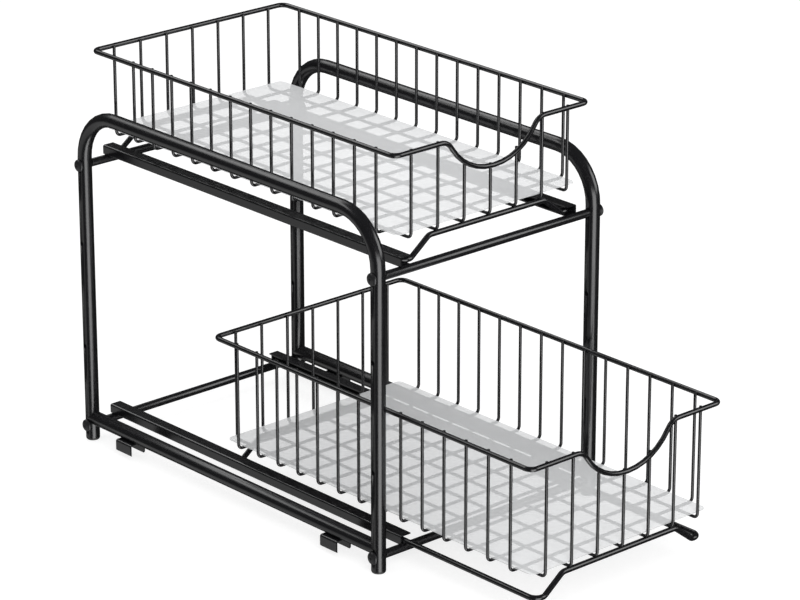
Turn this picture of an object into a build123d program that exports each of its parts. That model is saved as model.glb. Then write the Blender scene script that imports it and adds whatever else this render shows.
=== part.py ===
from build123d import *
import os
from math import atan2, ceil, cos, degrees, radians, sin, sqrt, tan

# A two-tier pull-out cabinet basket: a bolted tube stand with a pair of channel
# rails on each tier, and two wire baskets whose runner wires slide in the rails.
# Millimetres. X runs across, the baskets pull out along -Y, and Z is up.
# The stand is shown with the upper basket home and the lower one part way out,
# and the origin is on the floor under the middle of that whole outline.

# ---------------------------------------------------------------- driving sizes
leg_span_x = 251.0          # leg axis to leg axis, across
leg_span_y = 400.0          # leg axis to leg axis, front to back
tube_r = 6.5                # stand tube, 13 mm outside
tube_wall = 1.0
top_z = 320.2               # axis of the tube over the top
bend_r = 45.0               # bend of that tube into the legs
side_tube_z = 22.2          # axis of the low side tube

rod_r = 3.8                 # cross rods that carry the rails
tier_z = (15.0, 269.0)      # axes of the lower and the upper pair of rods
spare_z = (94.0, 194.0)     # spare holes, for a lower upper tier
hole_r = 2.25               # holes through the legs
screw_r = 1.98              # shank of the frame screws
screw_bore_r = 2.0          # tapped bore in each rod end
screw_bore_depth = 16.0
screw_head_r = 5.75
screw_head_h = 3.0
screw_length = 28.0
plug_flange = 2.5           # foot plug, below the end of the tube
plug_depth = 7.0

rail_x = 102.5              # outer face of a rail's web
rail_w = 11.5
rail_h = 9.2
rail_t = 1.2
rail_len = 405.0
weld = 0.2                  # how far welded round pieces sink into each other

saddle_w = 17.0             # stacking saddles, outside width
saddle_len = 21.4
saddle_h = 11.3
saddle_t = 1.5
saddle_y = 143.6            # from the middle of the stand

hoop_pitch = 27.1           # cross wires, front to back
hoop_count = 14
long_pitch = 30.2           # long wires, side to side
long_count = 7
rim_r = 2.25
wire_r = 1.4
runner_r = 2.5
rim_x = 112.0               # axis of the rim at the sides
rim_corner = 7.0
wire_bend = 4.5
nub = 1.2                   # wire ends stand this far above the rim's axis
full = 1.05                 # a many-sided bar's corners, over its radius, keep its weight
tube_sides = 16
bar_sides = 8
wire_sides = 6
bar_turn = 18.0             # a bend is made in small turns of at most this many degrees
wire_turn = 45.0
rim_rise = (102.7, 77.0)    # rim above the long wires: lower basket, upper basket

dip_depth = 32.0            # the finger dip in the front rim
dip_foot_x = 31.0           # where its flat bottom would meet the flank
dip_top_x = 52.6            # where the flank would meet the level rim
dip_shoulder_r = 14.0
dip_bottom_r = 56.0

runner_rise = 16.0          # from the rail level up to the basket's floor
runner_inset = 7.0          # runner's front and rear runs, inside the rim
runner_flat_x = 67.0        # where the high run ends
runner_foot_x = 88.0        # where the low run starts
runner_corner = 8.0
running_gap = 0.3           # runner above the floor of the rail
side_gap = 0.5              # runner inside the web of the rail

liner_t = 1.2
liner_gap_x = 4.8           # from the axis of the upright wires
liner_gap_y = 2.2
liner_corner = 5.0

home_y = -2.4               # middle of a closed basket from that of the stand
pulled_out = (166.4, 0.0)   # as shown: lower basket, upper basket
travel_out = 280.0          # from home to the stop lugs
travel_back = 4.0           # slack behind home

# ---------------------------------------------------------------- worked out
rim_len = (hoop_count + 1) * hoop_pitch
leg_x = leg_span_x / 2
rear_reach = leg_span_y / 2 + tube_r
front_reach = rim_len / 2 + rim_r - home_y + max(pulled_out)
stand_y = (front_reach - rear_reach) / 2
leg_front = stand_y - leg_span_y / 2
leg_rear = stand_y + leg_span_y / 2

upright_x = rim_x - rim_r - wire_r + weld
upright_inset = rim_r + wire_r - weld
runner_x = rail_x - rail_t - side_gap - runner_r * full


def rail_base(rod_z):
    """Underside of a rail that is welded on its rods."""
    return rod_z + rod_r - weld


def runner_low(rod_z):
    return rail_base(rod_z) + rail_t + running_gap + runner_r * full


def runner_high(rod_z):
    return runner_low(rod_z) + runner_rise


def long_z(rod_z):
    return runner_high(rod_z) + runner_r + wire_r - weld


def cross_z(rod_z):
    return long_z(rod_z) + 2 * wire_r - weld


def dip_at(x):
    """How far the rim's axis lies below its level at a distance x from the middle."""
    half_turn = atan2(dip_depth, dip_top_x - dip_foot_x) / 2
    if abs(x) >= dip_top_x + dip_shoulder_r * tan(half_turn):
        return 0.0
    reach = max(abs(x) - dip_foot_x + dip_bottom_r * tan(half_turn), 0.0)
    return dip_depth - (dip_bottom_r - sqrt(dip_bottom_r ** 2 - reach ** 2))


def turned(points, radii, turn):
    """Corners of a run whose bends are made in small turns that touch the true arc."""
    corners = [Vector(*point) for point in points]
    run = [corners[0]]
    for before, corner, after, radius in zip(corners, corners[1:], corners[2:], radii):
        heading = (corner - before).normalized()
        leaving = (after - corner).normalized()
        angle = radians(heading.get_angle(leaving))
        inward = (leaving - heading * heading.dot(leaving)).normalized()
        centre = corner - heading * (radius * tan(angle / 2)) + inward * radius
        turns = ceil(degrees(angle) / turn - 0.01)
        reach = radius / cos(angle / turns / 2)
        for k in range(turns):
            swung = angle * (k + 0.5) / turns
            run.append(centre + (heading * sin(swung) - inward * cos(swung)) * reach)
    run.append(corners[-1])
    return [tuple(point) for point in run]


def save(part, name):
    part.label = name
    export_step(part, "parts/" + name + ".step")


# ---------------------------------------------------------------- the stand
def frame_tube(side):
    """One tube bent into both legs and the top of a side, with its bolt holes."""
    with BuildPart() as tube:
        x = side * leg_x
        stops = [(x, leg_rear, plug_flange), (x, leg_rear, top_z)]
        stops += [(x, leg_front, top_z), (x, leg_front, plug_flange)]
        with BuildLine() as path:
            Polyline(*turned(stops, [bend_r, bend_r], bar_turn))
        with BuildSketch(Plane(origin=path.line @ 0, z_dir=path.line % 0)):
            RegularPolygon(tube_r, tube_sides)
            RegularPolygon(tube_r - tube_wall, tube_sides // 2, mode=Mode.SUBTRACT)
        sweep(transition=Transition.RIGHT)
        with BuildSketch(Plane.YZ.offset(side * leg_x)):
            for y in (leg_front, leg_rear):
                with Locations(*[(y, z) for z in tier_z]):
                    RegularPolygon(hole_r, 6, major_radius=False)
                with Locations(*[(y, z) for z in spare_z]):
                    Circle(hole_r)
        extrude(amount=tube_r + 1, both=True, mode=Mode.SUBTRACT)
    return tube.part


def side_tube(side):
    """The low tube between two legs, its ends mitred round them."""
    with BuildPart() as tube:
        with BuildSketch(Plane.XZ.offset(-leg_rear)):
            with Locations((side * leg_x, side_tube_z)):
                RegularPolygon(tube_r, tube_sides)
                RegularPolygon(tube_r - tube_wall, tube_sides // 2, mode=Mode.SUBTRACT)
        extrude(amount=leg_span_y)
        with BuildSketch(Plane.XY):
            with Locations((side * leg_x, leg_front), (side * leg_x, leg_rear)):
                RegularPolygon(tube_r, tube_sides)
        extrude(amount=2 * side_tube_z, mode=Mode.SUBTRACT)
    return tube.part


def saddle(side, end):
    """A folded bracket under the side tube that drops over a tube below it."""
    top = side_tube_z - tube_r + weld
    with BuildPart() as bracket:
        with BuildSketch(Plane.XZ.offset(-(stand_y + end * saddle_y + saddle_len / 2))) as fold:
            with Locations((side * leg_x, top)):
                Rectangle(saddle_w, saddle_h, align=(Align.CENTER, Align.MAX))
            fillet(fold.vertices().group_by(Axis.Z)[-1], 2.0)
            with Locations((side * leg_x, top - saddle_t)):
                Rectangle(
                    saddle_w - 2 * saddle_t,
                    saddle_h,
                    align=(Align.CENTER, Align.MAX),
                    mode=Mode.SUBTRACT,
                )
        extrude(amount=saddle_len)
        chamfer(bracket.edges().filter_by(Axis.X).group_by(Axis.Z)[0], 1.0)
    return bracket.part


def cross_rod(y, z):
    """A solid rod between the sides, tapped at both ends."""
    length = leg_span_x - 2 * tube_r
    with BuildPart() as rod:
        with BuildSketch(Plane.YZ.offset(-length / 2)):
            with Locations((y, z)):
                RegularPolygon(rod_r, 12)
        extrude(amount=length)
        for end in (-1, 1):
            with BuildSketch(Plane.YZ.offset(end * length / 2)):
                with Locations((y, z)):
                    RegularPolygon(screw_bore_r, 6, major_radius=False)
            extrude(amount=-end * screw_bore_depth, mode=Mode.SUBTRACT)
    return rod.part


def rail(side, rod_z):
    """A channel open towards the middle, with a rear tab and a stop lug."""
    base = rail_base(rod_z)
    rear = stand_y + rail_len / 2
    lip_x = rail_x - rail_w
    with BuildPart() as channel:
        with BuildSketch(Plane.XZ.offset(-rear)) as section:
            with Locations((side * (rail_x - rail_w / 2), base + rail_h / 2)):
                Rectangle(rail_w, rail_h)
            fillet(section.vertices().group_by(Axis.X)[-1 if side > 0 else 0], 1.6)
            with Locations((side * (lip_x + (rail_w - rail_t) / 2), base + rail_h / 2)):
                Rectangle(rail_w - rail_t, rail_h - 2 * rail_t, mode=Mode.SUBTRACT)
        extrude(amount=rail_len)
        # rear tab, folded in from the web: the closed basket's runner meets it
        with BuildSketch(Plane.XZ.offset(-rear)):
            with Locations((side * (rail_x - rail_t - 3.6), base + rail_h / 2)):
                Rectangle(8.4, rail_h - 2 * rail_t - 1.2)
        extrude(amount=rail_t)
        # stop lug, lanced up from the lower flange: the runner's rear corner meets it
        with BuildSketch(Plane.XZ.offset(-lug_y(rod_z))):
            with Locations((side * (lip_x + 1.8), base + rail_t)):
                Rectangle(3.2, 3.8, align=(Align.CENTER, Align.MIN))
        extrude(amount=rail_t)
    return channel.part


def lug_y(rod_z):
    """Rear face of the stop lugs, a little ahead of the runner's rear corner."""
    runner_rear = stand_y + home_y + rim_len / 2 - runner_inset
    return runner_rear - 5.2 - travel_out


def foot_plug():
    """A moulded plug: a rounded foot and a stem inside the tube."""
    with BuildPart() as plug:
        with BuildSketch(Plane.XY.offset(plug_flange)):
            RegularPolygon(tube_r, tube_sides)
        extrude(amount=-1.0)
        extrude(plug.faces().sort_by(Axis.Z)[0], amount=plug_flange - 1.0, taper=40)
        with BuildSketch(Plane.XY.offset(plug_flange)):
            RegularPolygon(tube_r - tube_wall, tube_sides // 2)
        extrude(amount=plug_depth)
    return plug.part


def foot_plugs():
    with BuildPart() as plugs:
        with Locations(*[(x, y) for x in (-leg_x, leg_x) for y in (leg_front, leg_rear)]):
            add(foot_plug())
    return plugs.part


def frame_screw():
    """A truss-head screw along Z, its head's underside at the origin."""
    with BuildPart() as screw:
        with BuildSketch(Plane.XY):
            RegularPolygon(screw_head_r, 12)
        extrude(amount=0.7)
        extrude(screw.faces().sort_by(Axis.Z)[-1], amount=1.3, taper=42)
        extrude(screw.faces().sort_by(Axis.Z)[-1], amount=1.0, taper=62)
        with BuildSketch(Plane.XY.offset(screw_head_h)):
            Rectangle(4.4, 1.0)
            Rectangle(1.0, 4.4)
        extrude(amount=-1.6, mode=Mode.SUBTRACT)
        with BuildSketch(Plane.XY):
            RegularPolygon(screw_r, 6)
        extrude(amount=-screw_length)
    return screw.part


def frame_screws():
    seats = [
        Plane(origin=(side * (leg_x + tube_r), y, z), z_dir=(side, 0, 0))
        for side in (-1, 1)
        for y in (leg_front, leg_rear)
        for z in tier_z
    ]
    with BuildPart() as screws:
        with Locations(*seats):
            add(frame_screw())
    return screws.part


# ---------------------------------------------------------------- a basket
def swept_half(points, radii, wire):
    """A wire bent along half of a loop, joined to its mirror image."""
    with BuildPart() as loop:
        with BuildLine() as path:
            Polyline(*turned(points, radii, bar_turn))
        with BuildSketch(Plane(origin=path.line @ 0, z_dir=path.line % 0)):
            RegularPolygon(wire * full, bar_sides)
        sweep(transition=Transition.RIGHT)
        mirror(about=Plane.YZ)
    return loop.part


def rim(front, rim_z):
    """The heavy wire round the top, with the finger dip in its front."""
    rear = front + rim_len
    low = rim_z - dip_depth
    points = [(0, front, low), (dip_foot_x, front, low), (dip_top_x, front, rim_z)]
    points += [(rim_x, front, rim_z), (rim_x, rear, rim_z), (0, rear, rim_z)]
    return swept_half(points, [dip_bottom_r, dip_shoulder_r, rim_corner, rim_corner], rim_r)


def runner(front, rod_z):
    """The loop that slides in the rails and steps up to carry the floor."""
    low, high = runner_low(rod_z), runner_high(rod_z)
    near = front + runner_inset
    far = front + rim_len - runner_inset
    points = [(0, near, high), (runner_flat_x, near, high)]
    points += [(runner_foot_x, near, low), (runner_x, near, low)]
    points += [(runner_x, far, low), (runner_foot_x, far, low)]
    points += [(runner_flat_x, far, high), (0, far, high)]
    return swept_half(points, [8.0, 5.0, runner_corner, runner_corner, 5.0, 8.0], runner_r)


def u_wire(plane, near, far, floor, near_top, far_top):
    """A thin wire down, along and up again in a plane."""
    points = [(near, near_top), (near, floor), (far, floor), (far, far_top)]
    with BuildPart() as wire:
        with BuildLine(plane) as path:
            Polyline(*turned(points, [wire_bend, wire_bend], wire_turn))
        with BuildSketch(Plane(origin=path.line @ 0, x_dir=plane.x_dir, z_dir=path.line % 0)):
            RegularPolygon(wire_r * full, wire_sides)
        sweep(transition=Transition.RIGHT)
    return wire.part


def cross_wires(front, rod_z, rim_z):
    """The row of U wires from side to side."""
    top = rim_z + nub
    one = u_wire(Plane.XZ, -upright_x, upright_x, cross_z(rod_z), top, top)
    with BuildPart() as wires:
        with Locations(*[(0, front + hoop_pitch * (i + 1), 0) for i in range(hoop_count)]):
            add(one)
    return wires.part


def long_wires(front, rod_z, rim_z):
    """The U wires from front to rear, cut short where the rim dips."""
    near, far = front + upright_inset, front + rim_len - upright_inset
    top = rim_z + nub
    with BuildPart() as wires:
        for j in range(long_count):
            x = (j - (long_count - 1) / 2) * long_pitch
            add(u_wire(Plane.YZ.offset(x), near, far, long_z(rod_z), top - dip_at(x), top))
    return wires.part


def liner(front, rod_z):
    """The frosted sheet that lies loose on the floor wires."""
    with BuildPart() as sheet:
        with BuildSketch(Plane.XY.offset(cross_z(rod_z) + wire_r * full)):
            with Locations((0, front + rim_len / 2)):
                RectangleRounded(
                    2 * (upright_x - liner_gap_x),
                    rim_len - 2 * (upright_inset + liner_gap_y),
                    liner_corner,
                )
        extrude(amount=liner_t)
    return sheet.part


# ---------------------------------------------------------------- build
os.makedirs("parts", exist_ok=True)

for side, hand in ((-1, "left"), (1, "right")):
    save(frame_tube(side), hand + "_frame_tube")
    save(side_tube(side), hand + "_side_tube")
    for end, place in ((-1, "front"), (1, "rear")):
        save(saddle(side, end), hand + "_" + place + "_saddle")

save(foot_plugs(), "foot_plugs")
save(frame_screws(), "frame_screws")

for rod_z, rise, out, tier in zip(tier_z, rim_rise, pulled_out, ("lower", "upper")):
    save(cross_rod(leg_front, rod_z), tier + "_front_rod")
    save(cross_rod(leg_rear, rod_z), tier + "_rear_rod")
    save(rail(-1, rod_z), tier + "_left_rail")
    save(rail(1, rod_z), tier + "_right_rail")
    front = stand_y + home_y - rim_len / 2 - out
    rim_z = long_z(rod_z) + rise
    save(rim(front, rim_z), tier + "_rim")
    save(cross_wires(front, rod_z, rim_z), tier + "_cross_wires")
    save(long_wires(front, rod_z, rim_z), tier + "_long_wires")
    save(runner(front, rod_z), tier + "_runner")
    save(liner(front, rod_z), tier + "_liner")
    print(tier, "rim at", round(rim_z, 3), "its front at", round(front, 3))
    print(tier, "long wires at", round(long_z(rod_z), 3), "cross wires at", round(cross_z(rod_z), 3))
print("stand middle at y", round(stand_y, 2), "stop lug at y", round(lug_y(0), 2))
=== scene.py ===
# %% [markdown]
# A two-tier cabinet basket, dressed over its measured frame. The solids already hold every size
# and every place, so this script only gives them their looks: round tube and wire in place of
# the many-sided bars, a black powder coat, a frosted liner, and a plain white studio. The frame
# is loaded first.

# %% Load the frame
import math

import bmesh
import bpy
from mathutils import Matrix, Vector


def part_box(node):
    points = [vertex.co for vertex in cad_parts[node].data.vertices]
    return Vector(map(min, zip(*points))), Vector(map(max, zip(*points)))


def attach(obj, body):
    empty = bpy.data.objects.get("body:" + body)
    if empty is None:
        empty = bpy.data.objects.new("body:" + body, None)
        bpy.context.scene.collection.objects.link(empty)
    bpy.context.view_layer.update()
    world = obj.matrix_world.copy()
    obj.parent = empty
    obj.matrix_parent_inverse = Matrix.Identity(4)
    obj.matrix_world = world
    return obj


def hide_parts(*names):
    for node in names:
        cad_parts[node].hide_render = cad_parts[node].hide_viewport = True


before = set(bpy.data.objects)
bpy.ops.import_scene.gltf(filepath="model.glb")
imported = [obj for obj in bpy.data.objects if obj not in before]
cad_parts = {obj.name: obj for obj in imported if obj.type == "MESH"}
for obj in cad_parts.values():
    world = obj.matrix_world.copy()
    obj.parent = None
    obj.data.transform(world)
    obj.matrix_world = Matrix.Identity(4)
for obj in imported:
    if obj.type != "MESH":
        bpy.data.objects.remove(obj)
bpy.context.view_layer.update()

mm = 0.001

# %% [markdown]
# The camera stands where the photograph was taken from: in front of the rack, to its left and
# above it, with a long lens. The place and the angles come from solving the photograph's
# perspective, and they come first because every later piece is judged through this view.

# %% Camera
camera_place = Vector((-2.0981, -2.3413, 1.3644))
camera_turn = math.radians(-41.909)
camera_rise = math.radians(20.557)
photo_width = 800
focal_pixels = 3805.8

toward_camera = Vector((
    math.sin(camera_turn) * math.cos(camera_rise),
    -math.cos(camera_turn) * math.cos(camera_rise),
    math.sin(camera_rise),
))
lens = bpy.data.cameras.new("photo_lens")
lens.sensor_width = 36
lens.lens = lens.sensor_width * focal_pixels / photo_width
camera = bpy.data.objects.new("photo_camera", lens)
camera.location = camera_place
camera.rotation_mode = "QUATERNION"
camera.rotation_quaternion = (-toward_camera).to_track_quat("-Z", "Y")
bpy.context.scene.collection.objects.link(camera)
bpy.context.scene.camera = camera
print("lens", round(lens.lens, 1), "mm")

# %% [markdown]
# Tube and wire are made by pushing a round section forward and turning it round each bend, just
# as a bending machine does. Two bmesh operators do this: extruding the section's edges makes a
# straight run, and spinning them about the bend's centre makes an arc. A curve with a round
# bevel would be shorter to write, but here each bend has its true radius and its own centre.

# %% Pushing and turning a section
turn_per_step = math.radians(11)
merge_distance = 0.001 * mm


def push(bm, section, offset):
    """Extrude a ring of edges in a straight line and return the new ring."""
    grown = bmesh.ops.extrude_edge_only(bm, edges=section)["geom"]
    new_verts = [part for part in grown if isinstance(part, bmesh.types.BMVert)]
    bmesh.ops.translate(bm, verts=new_verts, vec=offset)
    return [part for part in grown if isinstance(part, bmesh.types.BMEdge) and part.is_boundary]


def turn(bm, section, centre, axis, angle):
    """Spin a ring of edges round a bend and return the new ring."""
    ring_verts = list({vert for edge in section for vert in edge.verts})
    spun = bmesh.ops.spin(
        bm,
        geom=ring_verts + section,
        cent=centre,
        axis=axis,
        dvec=(0, 0, 0),
        angle=angle,
        steps=max(2, math.ceil(angle / turn_per_step)),
        use_merge=False,
        use_duplicate=False,
    )
    return [part for part in spun["geom_last"] if isinstance(part, bmesh.types.BMEdge)]


def bend_bar(bm, stops, bend_radii, radius, sides):
    """Bend a round bar along stops, each inner one a corner, and return its two end rings."""
    stops = [Vector(stop) for stop in stops]
    heading = (stops[1] - stops[0]).normalized()
    seat = Matrix.Translation(stops[0]) @ heading.to_track_quat("Z", "Y").to_matrix().to_4x4()
    circle = bmesh.ops.create_circle(bm, segments=sides, radius=radius, matrix=seat)["verts"]
    first_ring = list({edge for vert in circle for edge in vert.link_edges})
    section, here = first_ring, stops[0]
    for corner, after, bend in zip(stops[1:-1], stops[2:], bend_radii):
        next_heading = (after - corner).normalized()
        angle = heading.angle(next_heading)
        lead = bend * math.tan(angle / 2)
        bend_start = corner - heading * lead
        section = push(bm, section, bend_start - here)
        axis = heading.cross(next_heading).normalized()
        section = turn(bm, section, bend_start + axis.cross(heading) * bend, axis, angle)
        heading, here = next_heading, corner + next_heading * lead
    return first_ring, push(bm, section, stops[-1] - here)


def close_end(bm, ring, softness):
    """Cap a cut end and round its edge, as a coat of powder does."""
    cap = bmesh.ops.edgeloop_fill(bm, edges=ring)["faces"]
    rim_edges = list({edge for face in cap for edge in face.edges})
    bmesh.ops.bevel(
        bm, geom=rim_edges, offset=softness, segments=2, profile=0.5, affect="EDGES", material=-1
    )


def keep_piece(bm, name, body, stands_for=()):
    """Turn a bmesh into a piece that rides on a body and stands for CAD nodes."""
    bmesh.ops.remove_doubles(bm, verts=bm.verts, dist=merge_distance)
    bmesh.ops.recalc_face_normals(bm, faces=bm.faces)
    for face in bm.faces:
        face.smooth = True
    mesh = bpy.data.meshes.new(name)
    bm.to_mesh(mesh)
    bm.free()
    piece = bpy.data.objects.new(name, mesh)
    bpy.context.scene.collection.objects.link(piece)
    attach(piece, body)
    if stands_for:
        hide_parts(*stands_for)
    print(name, len(mesh.polygons), "faces")
    return piece


def middle(node):
    """The centre of a CAD node's box."""
    low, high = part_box(node)
    return (low + high) / 2


# %% [markdown]
# A boolean modifier drills and cuts what no sweep can make: the bolt holes and the cross in a
# screw's head. Its result is copied into the piece at once, so nothing is left to be worked out
# later, and the cutter is thrown away.

# %% Cutting one mesh out of another
def loose_object(bm, name):
    """Turn a bmesh into an object that isn't a piece of the rack."""
    mesh = bpy.data.meshes.new(name)
    bmesh.ops.recalc_face_normals(bm, faces=bm.faces)
    bm.to_mesh(mesh)
    bm.free()
    thing = bpy.data.objects.new(name, mesh)
    bpy.context.scene.collection.objects.link(thing)
    return thing


def cut_away(piece, cutter):
    """Take the cutter's volume out of the piece and keep only the resulting mesh."""
    cut = piece.modifiers.new("cut", "BOOLEAN")
    cut.operation = "DIFFERENCE"
    cut.solver = "EXACT"
    cut.use_self = True
    cut.object = cutter
    bpy.context.view_layer.update()
    evaluated = piece.evaluated_get(bpy.context.evaluated_depsgraph_get())
    result = bpy.data.meshes.new_from_object(evaluated)
    piece.modifiers.clear()
    piece.data = result
    bpy.data.objects.remove(cutter)
    print(piece.name, "cut to", len(result.polygons), "faces")
    return piece


# %% [markdown]
# Each side of the stand is one steel tube bent over the top into two legs. Plugs fill its two
# ends, so its hollow is never seen and it is bent here as a closed bar. Drills then make the two
# spare holes in each leg and the two that the screws go through.

# %% Stand tubes
tube_radius = 6.5 * mm
tube_bend = 45.0 * mm
hole_radius = 2.25 * mm
spare_heights = (94 * mm, 194 * mm)
tube_sides = 32
cut_edge = 0.2 * mm           # how far a cut end of tube or rod is rounded
drill_sides = 20
drill_length = 4 * tube_radius


def stand_tube(hand):
    node = hand + "_frame_tube"
    low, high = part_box(node)
    x = middle(node).x
    front, rear = low.y + tube_radius, high.y - tube_radius
    crown = high.z - tube_radius
    stops = [(x, rear, low.z), (x, rear, crown), (x, front, crown), (x, front, low.z)]
    bm = bmesh.new()
    for ring in bend_bar(bm, stops, [tube_bend, tube_bend], tube_radius, tube_sides):
        close_end(bm, ring, cut_edge)
    piece = keep_piece(bm, hand + "_stand_tube", "stand", [node])
    drills = bmesh.new()
    rod_heights = [middle(tier + "_front_rod").z for tier in ("lower", "upper")]
    for y in (front, rear):
        for z in [*spare_heights, *rod_heights]:
            bmesh.ops.create_cone(
                drills, cap_ends=True, segments=drill_sides, radius1=hole_radius,
                radius2=hole_radius, depth=drill_length,
                matrix=Matrix.Translation((x, y, z)) @ Matrix.Rotation(math.pi / 2, 4, "Y"),
            )
    return cut_away(piece, loose_object(drills, hand + "_drills"))


stand_tubes = [stand_tube(hand) for hand in ("left", "right")]

# %% [markdown]
# The low side tubes and the four cross rods are straight, so each is a single push of the
# section. A side tube runs on into the two legs, whose walls hide its ends.

# %% Side tubes and cross rods
rod_radius = 3.8 * mm
rod_sides = 24
x_axis, y_axis = 0, 1


def straight_bar(name, node, radius, sides, along):
    """Push a round bar from end to end of a CAD node's box, along one axis."""
    low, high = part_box(node)
    start, stop = middle(node), middle(node)
    start[along] = low[along]
    stop[along] = high[along]
    bm = bmesh.new()
    for ring in bend_bar(bm, [start, stop], [], radius, sides):
        close_end(bm, ring, cut_edge)
    return keep_piece(bm, name, "stand", [node])


side_bars = [
    straight_bar(hand + "_low_tube", hand + "_side_tube", tube_radius, tube_sides, y_axis)
    for hand in ("left", "right")
]
cross_bars = [
    straight_bar(f"{tier}_{end}_bar", f"{tier}_{end}_rod", rod_radius, rod_sides, x_axis)
    for tier in ("lower", "upper")
    for end in ("front", "rear")
]

# %% [markdown]
# The feet are moulded plugs pressed into the leg ends. A plug is a turned shape, so its outline
# is drawn once, from the middle of its underside up to the tube and in over the stem that sits
# inside, and spun round the leg.

# %% Foot plugs
turned_steps = 32
stem_radius = 5.45 * mm
stem_top = 9.2 * mm


def spun_outline(bm, outline):
    """Spin an outline of (distance, height) points round the Z axis into a closed shape."""
    line = [bm.verts.new((distance, 0, height)) for distance, height in outline]
    edges = [bm.edges.new(pair) for pair in zip(line, line[1:])]
    bmesh.ops.spin(
        bm, geom=line + edges, cent=(0, 0, 0), axis=(0, 0, 1), dvec=(0, 0, 0),
        angle=2 * math.pi, steps=turned_steps, use_merge=True, use_duplicate=False,
    )
    bmesh.ops.remove_doubles(bm, verts=bm.verts, dist=merge_distance)
    bmesh.ops.recalc_face_normals(bm, faces=bm.faces)


plug_low, plug_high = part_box("foot_plugs")
tube_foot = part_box("left_frame_tube")[0].z
foot_spots = [
    (middle(hand + "_frame_tube").x, y)
    for hand in ("left", "right")
    for y in (plug_low.y + tube_radius, plug_high.y - tube_radius)
]
plug_outline = [
    (0, 0), (4.6 * mm, 0), (5.7 * mm, 0.5 * mm), (6.3 * mm, 1.3 * mm), (6.5 * mm, 2.2 * mm),
    (6.4 * mm, tube_foot), (stem_radius, tube_foot), (stem_radius, stem_top), (0, stem_top),
]
plugs = bmesh.new()
for spot in foot_spots:
    one_plug = bmesh.new()
    spun_outline(one_plug, plug_outline)
    one_plug.transform(Matrix.Translation((*spot, 0)))
    shape = bpy.data.meshes.new("one_plug")
    one_plug.to_mesh(shape)
    one_plug.free()
    plugs.from_mesh(shape)
    bpy.data.meshes.remove(shape)
feet = keep_piece(plugs, "feet", "stand", ["foot_plugs"])

# %% [markdown]
# Eight truss-head screws hold the cross rods. One screw is made: a domed head spun from an
# outline, with a cross cut into it by two tapered blades. It is then copied to its eight seats,
# four on each side, and turned differently from leg to leg, as tightened screws are.

# %% Frame screws
head_radius = 5.75 * mm
head_height = 3.0 * mm
head_skirt = 0.6 * mm
shank_radius = 1.98 * mm
screw_low, screw_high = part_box("frame_screws")
shank_length = 28 * mm
dome_steps = 8
blade_size = (5.0 * mm, 1.1 * mm, 3.2 * mm)
blade_taper = 0.45
cross_turn = 0.7              # radians
cross_turn_per_metre = 9

dome = []
for step in range(dome_steps + 1):
    rise = math.radians(90 * step / dome_steps)
    height = head_skirt + (head_height - head_skirt) * math.sin(rise)
    dome.append((head_radius * math.cos(rise), height))
screw_outline = [
    (0, -shank_length), (shank_radius, -shank_length), (shank_radius, 0), (head_radius, 0)
]
screw_outline += dome[:-1] + [(0, head_height)]

screw_shape = bmesh.new()
spun_outline(screw_shape, screw_outline)
one_screw = loose_object(screw_shape, "one_screw")
driver = bmesh.new()
for turned in (0, math.pi / 2):
    blade = bmesh.ops.create_cube(driver, size=1.0)["verts"]
    bmesh.ops.scale(driver, verts=blade, vec=blade_size)
    for vert in blade:
        if vert.co.z < 0:
            vert.co.x *= blade_taper
    bmesh.ops.translate(driver, verts=blade, vec=(0, 0, head_height))
    bmesh.ops.rotate(driver, verts=blade, matrix=Matrix.Rotation(turned, 3, "Z"))
cut_away(one_screw, loose_object(driver, "driver_tip"))

screws = bmesh.new()
for x, facing in ((screw_low.x + head_height, -1), (screw_high.x - head_height, 1)):
    for y in (foot_spots[0][1], foot_spots[1][1]):
        for tier in ("lower", "upper"):
            spin_angle = cross_turn * facing + cross_turn_per_metre * y
            seat = Matrix.Translation((x, y, middle(tier + "_front_rod").z))
            seat @= Matrix.Rotation(facing * math.pi / 2, 4, "Y") @ Matrix.Rotation(spin_angle, 4, "Z")
            placed = one_screw.data.copy()
            placed.transform(seat)
            screws.from_mesh(placed)
            bpy.data.meshes.remove(placed)
bpy.data.objects.remove(one_screw)
screw_piece = keep_piece(screws, "truss_screws", "stand", ["frame_screws"])

# %% [markdown]
# A basket is welded from bent wire. The heavy rim wire runs round the top and dips in front for
# the hand. Its corners are worked out from the solid's box: the solid's bar has eight sides, and
# its corners reach a twentieth past the round wire's surface.

# %% Rim wires
rim_radius = 2.25 * mm
heavy_wire_sides = 20
corner_reach = 1.05
rim_corner = 7.0 * mm
dip_depth = 32.0 * mm
dip_foot = 31.0 * mm
dip_top = 52.6 * mm
dip_bottom_bend = 56.0 * mm
dip_shoulder_bend = 14.0 * mm


def rim_lines(tier):
    """The rim's axis: its side, front, rear and height."""
    low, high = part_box(tier + "_rim")
    inset = rim_radius * corner_reach
    return high.x - inset, low.y + inset, high.y - inset, high.z - inset


def bent_loop(name, node, body, half, bends, radius, sides):
    """Bend half of a loop, which starts and ends on the middle plane, and mirror it."""
    bm = bmesh.new()
    bend_bar(bm, half, bends, radius, sides)
    whole = bm.verts[:] + bm.edges[:] + bm.faces[:]
    bmesh.ops.mirror(bm, geom=whole, matrix=Matrix.Identity(4), merge_dist=merge_distance, axis="X")
    return keep_piece(bm, name, body, [node])


def rim_wire(tier):
    """The heavy top wire, from the bottom of its dip round to the middle of the rear."""
    side, front, rear, top = rim_lines(tier)
    half = [
        (0, front, top - dip_depth), (dip_foot, front, top - dip_depth), (dip_top, front, top),
        (side, front, top), (side, rear, top), (0, rear, top),
    ]
    bends = [dip_bottom_bend, dip_shoulder_bend, rim_corner, rim_corner]
    return bent_loop(
        tier + "_rim_wire", tier + "_rim", tier + "_basket", half, bends, rim_radius, heavy_wire_sides
    )


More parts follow.
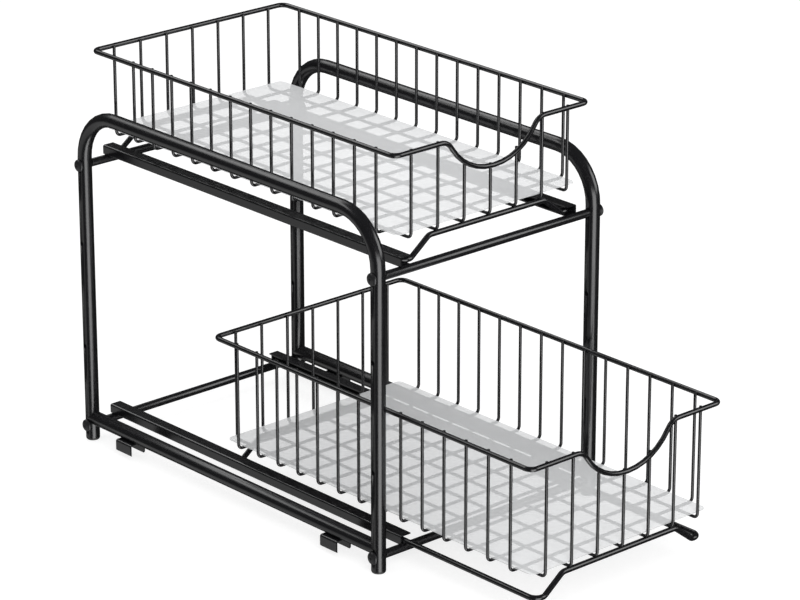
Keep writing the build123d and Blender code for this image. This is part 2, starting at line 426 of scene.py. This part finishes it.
rims = [rim_wire(tier) for tier in ("lower", "upper")]

# %% [markdown]
# The runner is the loop that slides in the rails. It runs low along both sides and steps up at
# the front and rear, where the basket's floor wires are welded on top of it.

# %% Runner wires
runner_radius = 2.5 * mm
runner_flat = 67.0 * mm
runner_foot = 88.0 * mm
runner_corner = 8.0 * mm
step_bends = (8.0 * mm, 5.0 * mm)


def runner_wire(tier):
    """The stepped loop under a basket, raised at its front and rear."""
    low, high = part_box(tier + "_runner")
    inset = runner_radius * corner_reach
    side, floor, raised = high.x - inset, low.z + inset, high.z - inset
    front, rear = low.y + inset, high.y - inset
    half = [
        (0, front, raised), (runner_flat, front, raised), (runner_foot, front, floor),
        (side, front, floor), (side, rear, floor), (runner_foot, rear, floor),
        (runner_flat, rear, raised), (0, rear, raised),
    ]
    bends = [*step_bends, runner_corner, runner_corner, *reversed(step_bends)]
    return bent_loop(
        tier + "_slide_wire", tier + "_runner", tier + "_basket", half, bends, runner_radius,
        heavy_wire_sides,
    )


runners = [runner_wire(tier) for tier in ("lower", "upper")]

# %% [markdown]
# Thin wires bent into a U make the walls and the floor. Fourteen run from side to side, and seven
# lie under them from front to rear. Each end stands a little above the rim inside it, and where
# the rim dips the front ends are cut shorter, so the height of the dip is worked out for each.

# %% Basket wires
wire_radius = 1.4 * mm
wire_bend = 4.5 * mm
wire_sides = 14
wire_cut_edge = 0.35 * mm
weld_depth = 0.2 * mm
cross_count, cross_pitch = 14, 27.1 * mm
long_count, long_pitch = 7, 30.2 * mm
nub = 1.2 * mm


def dip_at(x):
    """How far the rim hangs below its level, at a distance from the middle."""
    half_turn = math.atan2(dip_depth, dip_top - dip_foot) / 2
    if abs(x) >= dip_top + dip_shoulder_bend * math.tan(half_turn):
        return 0.0
    reach = max(abs(x) - dip_foot + dip_bottom_bend * math.tan(half_turn), 0.0)
    return dip_depth - (dip_bottom_bend - math.sqrt(dip_bottom_bend ** 2 - reach ** 2))


def u_wire(bm, stops):
    """One thin wire bent twice, with both its cut ends rounded."""
    for ring in bend_bar(bm, stops, [wire_bend, wire_bend], wire_radius, wire_sides):
        close_end(bm, ring, wire_cut_edge)


def basket_wires(tier):
    """The two sets of thin wires of one basket, each a piece of its own."""
    side, front, rear, top = rim_lines(tier)
    inset = rim_radius + wire_radius - weld_depth
    near_x, near_y, far_y = side - inset, front + inset, rear - inset
    cross_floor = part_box(tier + "_cross_wires")[0].z + wire_radius * corner_reach
    long_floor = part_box(tier + "_long_wires")[0].z + wire_radius * corner_reach
    tip = top + nub
    centre_y = (front + rear) / 2
    across = bmesh.new()
    for i in range(cross_count):
        y = centre_y + (i - (cross_count - 1) / 2) * cross_pitch
        u_wire(across, [
            (-near_x, y, tip), (-near_x, y, cross_floor), (near_x, y, cross_floor), (near_x, y, tip)
        ])
    along = bmesh.new()
    for j in range(long_count):
        x = (j - (long_count - 1) / 2) * long_pitch
        u_wire(along, [
            (x, near_y, tip - dip_at(x)), (x, near_y, long_floor), (x, far_y, long_floor), (x, far_y, tip)
        ])
    body = tier + "_basket"
    return [
        keep_piece(across, tier + "_side_wires", body, [tier + "_cross_wires"]),
        keep_piece(along, tier + "_floor_wires", body, [tier + "_long_wires"]),
    ]


wires = [wire for tier in ("lower", "upper") for wire in basket_wires(tier)]

# %% [markdown]
# Powder coat is never quite smooth: it has a fine orange peel and its gloss drifts a little. One
# node group makes both from noise, in the object's own coordinates, and puts out a colour, a
# roughness and a height. Every coated or moulded finish below uses it with its own values.

# %% A group for moulded and coated surfaces
def new_group(name, inputs, outputs):
    """A shader node group with named sockets, and its input and output nodes."""
    group = bpy.data.node_groups.new(name, "ShaderNodeTree")
    for label, kind, value in inputs:
        socket = group.interface.new_socket(name=label, in_out="INPUT", socket_type=kind)
        if value is not None:
            socket.default_value = value
    for label, kind in outputs:
        group.interface.new_socket(name=label, in_out="OUTPUT", socket_type=kind)
    return group, group.nodes.new("NodeGroupInput"), group.nodes.new("NodeGroupOutput")


def in_use(sockets, name):
    """A Mix node has a socket of each name for every kind of data, and only one is in use."""
    return next(socket for socket in sockets if socket.name == name and socket.enabled)


fine_skin, skin_in, skin_out = new_group(
    "fine_skin",
    [
        ("Place", "NodeSocketVector", None),
        ("Grain per metre", "NodeSocketFloat", 900.0),
        ("Cloud per metre", "NodeSocketFloat", 40.0),
        ("Deep colour", "NodeSocketColor", (0.01, 0.01, 0.01, 1)),
        ("High colour", "NodeSocketColor", (0.02, 0.02, 0.02, 1)),
        ("Least rough", "NodeSocketFloat", 0.25),
        ("Most rough", "NodeSocketFloat", 0.35),
    ],
    [("Colour", "NodeSocketColor"), ("Roughness", "NodeSocketFloat"), ("Height", "NodeSocketFloat")],
)
link = fine_skin.links.new
grain = fine_skin.nodes.new("ShaderNodeTexNoise")
grain.inputs["Detail"].default_value = 3
link(skin_in.outputs["Place"], grain.inputs["Vector"])
link(skin_in.outputs["Grain per metre"], grain.inputs["Scale"])
cloud = fine_skin.nodes.new("ShaderNodeTexNoise")
cloud.inputs["Detail"].default_value = 2
link(skin_in.outputs["Place"], cloud.inputs["Vector"])
link(skin_in.outputs["Cloud per metre"], cloud.inputs["Scale"])
tone = fine_skin.nodes.new("ShaderNodeMix")
tone.data_type = "RGBA"
link(cloud.outputs["Fac"], in_use(tone.inputs, "Factor"))
link(skin_in.outputs["Deep colour"], in_use(tone.inputs, "A"))
link(skin_in.outputs["High colour"], in_use(tone.inputs, "B"))
gloss = fine_skin.nodes.new("ShaderNodeMapRange")
link(cloud.outputs["Fac"], gloss.inputs["Value"])
link(skin_in.outputs["Least rough"], gloss.inputs["To Min"])
link(skin_in.outputs["Most rough"], gloss.inputs["To Max"])
link(in_use(tone.outputs, "Result"), skin_out.inputs["Colour"])
link(gloss.outputs["Result"], skin_out.inputs["Roughness"])
link(grain.outputs["Fac"], skin_out.inputs["Height"])
print("group", fine_skin.name, len(fine_skin.nodes), "nodes")

# %% [markdown]
# Four black finishes are made with that group here, and the liner's follows in the next cell. The
# stand and the baskets wear the same coat, a little glossier on the wire. The screws are
# blackened steel, and the feet are matt moulded plastic.

# %% Coated and moulded finishes
bump_strength = 0.35


def skin_material(name, deep, high, rough, grain_size, relief, metallic=0.0):
    """A finish between two colours and two roughnesses, with a grain of a given size and depth."""
    material = bpy.data.materials.new(name)
    material.use_nodes = True
    nodes, links = material.node_tree.nodes, material.node_tree.links
    shader = nodes["Principled BSDF"]
    shader.inputs["Metallic"].default_value = metallic
    place = nodes.new("ShaderNodeTexCoord")
    skin = nodes.new("ShaderNodeGroup")
    skin.node_tree = fine_skin
    skin.inputs["Grain per metre"].default_value = 1 / grain_size
    skin.inputs["Deep colour"].default_value = (*deep, 1)
    skin.inputs["High colour"].default_value = (*high, 1)
    skin.inputs["Least rough"].default_value, skin.inputs["Most rough"].default_value = rough
    bump = nodes.new("ShaderNodeBump")
    bump.inputs["Strength"].default_value = bump_strength
    bump.inputs["Distance"].default_value = relief
    links.new(place.outputs["Object"], skin.inputs["Place"])
    links.new(skin.outputs["Colour"], shader.inputs["Base Color"])
    links.new(skin.outputs["Roughness"], shader.inputs["Roughness"])
    links.new(skin.outputs["Height"], bump.inputs["Height"])
    links.new(bump.outputs["Normal"], shader.inputs["Normal"])
    return material


stand_coat = skin_material(
    "stand_coat", (0.006, 0.006, 0.007), (0.010, 0.010, 0.011), (0.20, 0.28), 1.1 * mm, 0.02 * mm
)
basket_coat = skin_material(
    "basket_coat", (0.005, 0.005, 0.006), (0.009, 0.009, 0.010), (0.18, 0.25), 1.1 * mm, 0.015 * mm
)
black_steel = skin_material(
    "black_steel", (0.020, 0.020, 0.021), (0.032, 0.032, 0.034), (0.28, 0.40), 0.5 * mm, 0.01 * mm,
    metallic=0.4,
)
plug_plastic = skin_material(
    "plug_plastic", (0.013, 0.013, 0.013), (0.020, 0.020, 0.020), (0.45, 0.60), 0.6 * mm, 0.03 * mm
)
print("finishes", [finish.name for finish in (stand_coat, basket_coat, black_steel, plug_plastic)])

# %% [markdown]
# The liner is a milky plastic sheet. Light passes through it but is scattered on the way, so the
# black wires under it show only as soft grey lines. Part of what lies below is let through by
# alpha, and the rest is a pale skin with a very fine grain. The sheet is a closed solid, so a look
# through it crosses two faces: the one seen from inside is left clear, so that it counts once.

# %% Frosted liner
frosted = skin_material(
    "frosted_sheet", (0.83, 0.84, 0.85), (0.88, 0.89, 0.90), (0.42, 0.55), 0.8 * mm, 0.01 * mm
)
sheet_cover = 0.75
sheet_nodes, sheet_links = frosted.node_tree.nodes, frosted.node_tree.links
facing = sheet_nodes.new("ShaderNodeNewGeometry")
cover = sheet_nodes.new("ShaderNodeMapRange")
cover.inputs["To Min"].default_value = sheet_cover
cover.inputs["To Max"].default_value = 0.0
sheet_links.new(facing.outputs["Backfacing"], cover.inputs["Value"])
sheet_links.new(cover.outputs["Result"], sheet_nodes["Principled BSDF"].inputs["Alpha"])
print("the sheet hides", sheet_cover, "of what lies under it")

# %% [markdown]
# Every piece gets its finish. The rails, the saddles and the liners keep the CAD solids' own
# shapes, which are right as they are, and only their material slots are filled.

# %% Giving out the finishes
def paint(piece, material):
    piece.data.materials.clear()
    piece.data.materials.append(material)


for piece in stand_tubes + side_bars + cross_bars:
    paint(piece, stand_coat)
for piece in rims + runners + wires:
    paint(piece, basket_coat)
paint(screw_piece, black_steel)
paint(feet, plug_plastic)
for name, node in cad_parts.items():
    if name.endswith(("_rail", "_saddle")):
        paint(node, stand_coat)
    if name.endswith("_liner"):
        paint(node, frosted)
dressed = stand_tubes + side_bars + cross_bars + rims + runners + wires + [screw_piece, feet]
print("dressed pieces", len(dressed), "for", len(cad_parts), "nodes")

# %% [markdown]
# The floor is a plain grey to the light, so that it throws little back on the object. A strong
# glow for the camera alone lifts it to the photograph's white. The glow stops short of full white
# and the light does the rest, so the rack's shadow still shows.

# %% Floor
floor_half_width = 8.0        # metres
floor_base = 0.36
camera_glow = 0.78

floor_shape = bmesh.new()
bmesh.ops.create_grid(floor_shape, x_segments=1, y_segments=1, size=floor_half_width)
floor = loose_object(floor_shape, "floor")
floor.visible_glossy = False
floor_paint = bpy.data.materials.new("pale_floor")
floor_paint.use_nodes = True
floor_nodes, floor_links = floor_paint.node_tree.nodes, floor_paint.node_tree.links
floor_shader = floor_nodes["Principled BSDF"]
floor_shader.inputs["Base Color"].default_value = (floor_base, floor_base, floor_base, 1)
floor_shader.inputs["Roughness"].default_value = 0.9
floor_shader.inputs["Specular IOR Level"].default_value = 0.1
floor_shader.inputs["Emission Color"].default_value = (1, 1, 1, 1)
floor_glow = floor_nodes.new("ShaderNodeMath")
floor_glow.operation = "MULTIPLY"
floor_glow.inputs[1].default_value = camera_glow
floor_path = floor_nodes.new("ShaderNodeLightPath")
floor_links.new(floor_path.outputs["Is Camera Ray"], floor_glow.inputs[0])
floor_links.new(floor_glow.outputs["Value"], floor_shader.inputs["Emission Strength"])
paint(floor, floor_paint)
print("floor", round(floor.dimensions.x, 2), "metres wide")

# %% [markdown]
# A dark glossy bar looks black where it mirrors nothing and bright where it mirrors a lamp, so
# what it mirrors matters more than how much light falls on it. The world stands in for a studio's
# soft boxes: each is a patch of directions, made by one group from its bearing, width and height.

# %% A group for one soft box
soft_box, box_in, box_out = new_group(
    "soft_box",
    [
        ("Direction", "NodeSocketVector", None),
        ("Bearing", "NodeSocketFloat", 0.0),
        ("Half width", "NodeSocketFloat", 0.4),
        ("Lowest", "NodeSocketFloat", -0.5),
        ("Highest", "NodeSocketFloat", 0.5),
    ],
    [("Mask", "NodeSocketFloat")],
)
link = soft_box.links.new
edge_softness = 0.12          # radians


def feed(tree, socket, source):
    """Put a number on a socket, or link another node's output to it."""
    if isinstance(source, (int, float)):
        socket.default_value = source
    else:
        tree.links.new(source, socket)


def tree_math(tree, operation, *sources):
    """A Math node in a tree, fed from numbers or outputs, and the value it puts out."""
    node = tree.nodes.new("ShaderNodeMath")
    node.operation = operation
    for socket, source in zip(node.inputs, sources):
        feed(tree, socket, source)
    return node.outputs["Value"]


def box_edge(value, start, stop):
    """0 before start and 1 after stop, with a soft edge between."""
    node = soft_box.nodes.new("ShaderNodeMapRange")
    node.interpolation_type = "SMOOTHSTEP"
    link(value, node.inputs["Value"])
    link(start, node.inputs["From Min"])
    link(stop, node.inputs["From Max"])
    return node.outputs["Result"]


split = soft_box.nodes.new("ShaderNodeSeparateXYZ")
link(box_in.outputs["Direction"], split.inputs["Vector"])
half_width = box_in.outputs["Half width"]
lowest, highest = box_in.outputs["Lowest"], box_in.outputs["Highest"]
bearing = tree_math(soft_box, "ARCTAN2", split.outputs["Y"], split.outputs["X"])
apart = tree_math(soft_box, "SUBTRACT", bearing, box_in.outputs["Bearing"])
off_centre = tree_math(soft_box, "ABSOLUTE", tree_math(soft_box, "WRAP", apart, math.pi, -math.pi))
height = tree_math(soft_box, "ARCSINE", split.outputs["Z"])
outside = box_edge(off_centre, half_width, tree_math(soft_box, "ADD", half_width, edge_softness))
above = box_edge(height, tree_math(soft_box, "SUBTRACT", lowest, edge_softness), lowest)
below = box_edge(height, highest, tree_math(soft_box, "ADD", highest, edge_softness))
across_mask = tree_math(soft_box, "SUBTRACT", 1.0, outside)
up_mask = tree_math(soft_box, "SUBTRACT", above, below)
link(tree_math(soft_box, "MULTIPLY", across_mask, up_mask), box_out.inputs["Mask"])
print("group", soft_box.name, len(soft_box.nodes), "nodes")

# %% [markdown]
# The camera sees the world as plain white. Gloss sees the soft boxes over a dim room: one low in
# front for the legs, one to the front right for the cross rods, one high at the back for the
# tubes' tops, and a faint low one at the back left. Everything else gets an even light.

# %% World
world = bpy.data.worlds.new("studio")
bpy.context.scene.world = world
world.use_nodes = True
sky = world.node_tree
air = sky.nodes
backdrop = air["Background"]
backdrop.inputs["Color"].default_value = (1, 1, 1, 1)
look = air.new("ShaderNodeTexCoord")
path = air.new("ShaderNodeLightPath")
room_light = 0.62
room_gloss = 0.05
# each box: name, bearing, half width, lowest and highest in degrees, power
boxes = (
    ("low_front", -106, 22, -75, 5, 4.8),
    ("front_right", -48, 16, 8, 36, 4.4),
    ("high_back", 100, 42, 40, 48, 3.6),
    ("left_wall", 140, 34, -75, -18, 0.6),
)


def air_mix(mask, without, within):
    """A value that is one thing outside the mask and another inside it."""
    node = air.new("ShaderNodeMix")
    for label, source in (("Factor", mask), ("A", without), ("B", within)):
        feed(sky, node.inputs[label], source)
    return node.outputs["Result"]


mirrored = room_gloss
for label, bearing_deg, width_deg, low_deg, high_deg, power in boxes:
    patch = air.new("ShaderNodeGroup")
    patch.node_tree = soft_box
    patch.name = label
    feed(sky, patch.inputs["Direction"], look.outputs["Generated"])
    patch.inputs["Bearing"].default_value = math.radians(bearing_deg)
    patch.inputs["Half width"].default_value = math.radians(width_deg)
    patch.inputs["Lowest"].default_value = math.radians(low_deg)
    patch.inputs["Highest"].default_value = math.radians(high_deg)
    lit = tree_math(sky, "MULTIPLY", patch.outputs["Mask"], power)
    mirrored = tree_math(sky, "ADD", lit, mirrored)
strength = air_mix(path.outputs["Is Glossy Ray"], room_light, mirrored)
strength = air_mix(path.outputs["Is Transmission Ray"], strength, 1.0)
strength = air_mix(path.outputs["Is Camera Ray"], strength, 1.0)
feed(sky, backdrop.inputs["Strength"], strength)
print("soft boxes", [box[0] for box in boxes])

# %% [markdown]
# Two broad lamps give the soft shadows that tie the rack to the floor. Gloss doesn't see them,
# because the world's soft boxes already draw every highlight.

# %% Lamps
aimed_at = Vector((0, 0, 0.15))


def soft_lamp(name, place, size, watts):
    """A round lamp that lights the rack but shows in neither the camera nor the gloss."""
    light = bpy.data.lights.new(name, "AREA")
    light.shape = "DISK"
    light.size = size
    light.energy = watts
    lamp = bpy.data.objects.new(name, light)
    lamp.location = place
    aim = aimed_at - Vector(place)
    lamp.rotation_mode = "QUATERNION"
    lamp.rotation_quaternion = aim.to_track_quat("-Z", "Y")
    lamp.visible_glossy = False
    lamp.visible_camera = False
    bpy.context.scene.collection.objects.link(lamp)
    print(name, watts, "watts")


soft_lamp("overhead_lamp", (0.3, 0.4, 2.2), 1.6, 8)
soft_lamp("front_lamp", (-1.2, -1.8, 1.6), 1.8, 38)

bpy.context.scene.view_settings.view_transform = "Standard"

# %% [markdown]
# Last, the view layer is brought up to date.

# %% Update the view
bpy.context.view_layer.update()
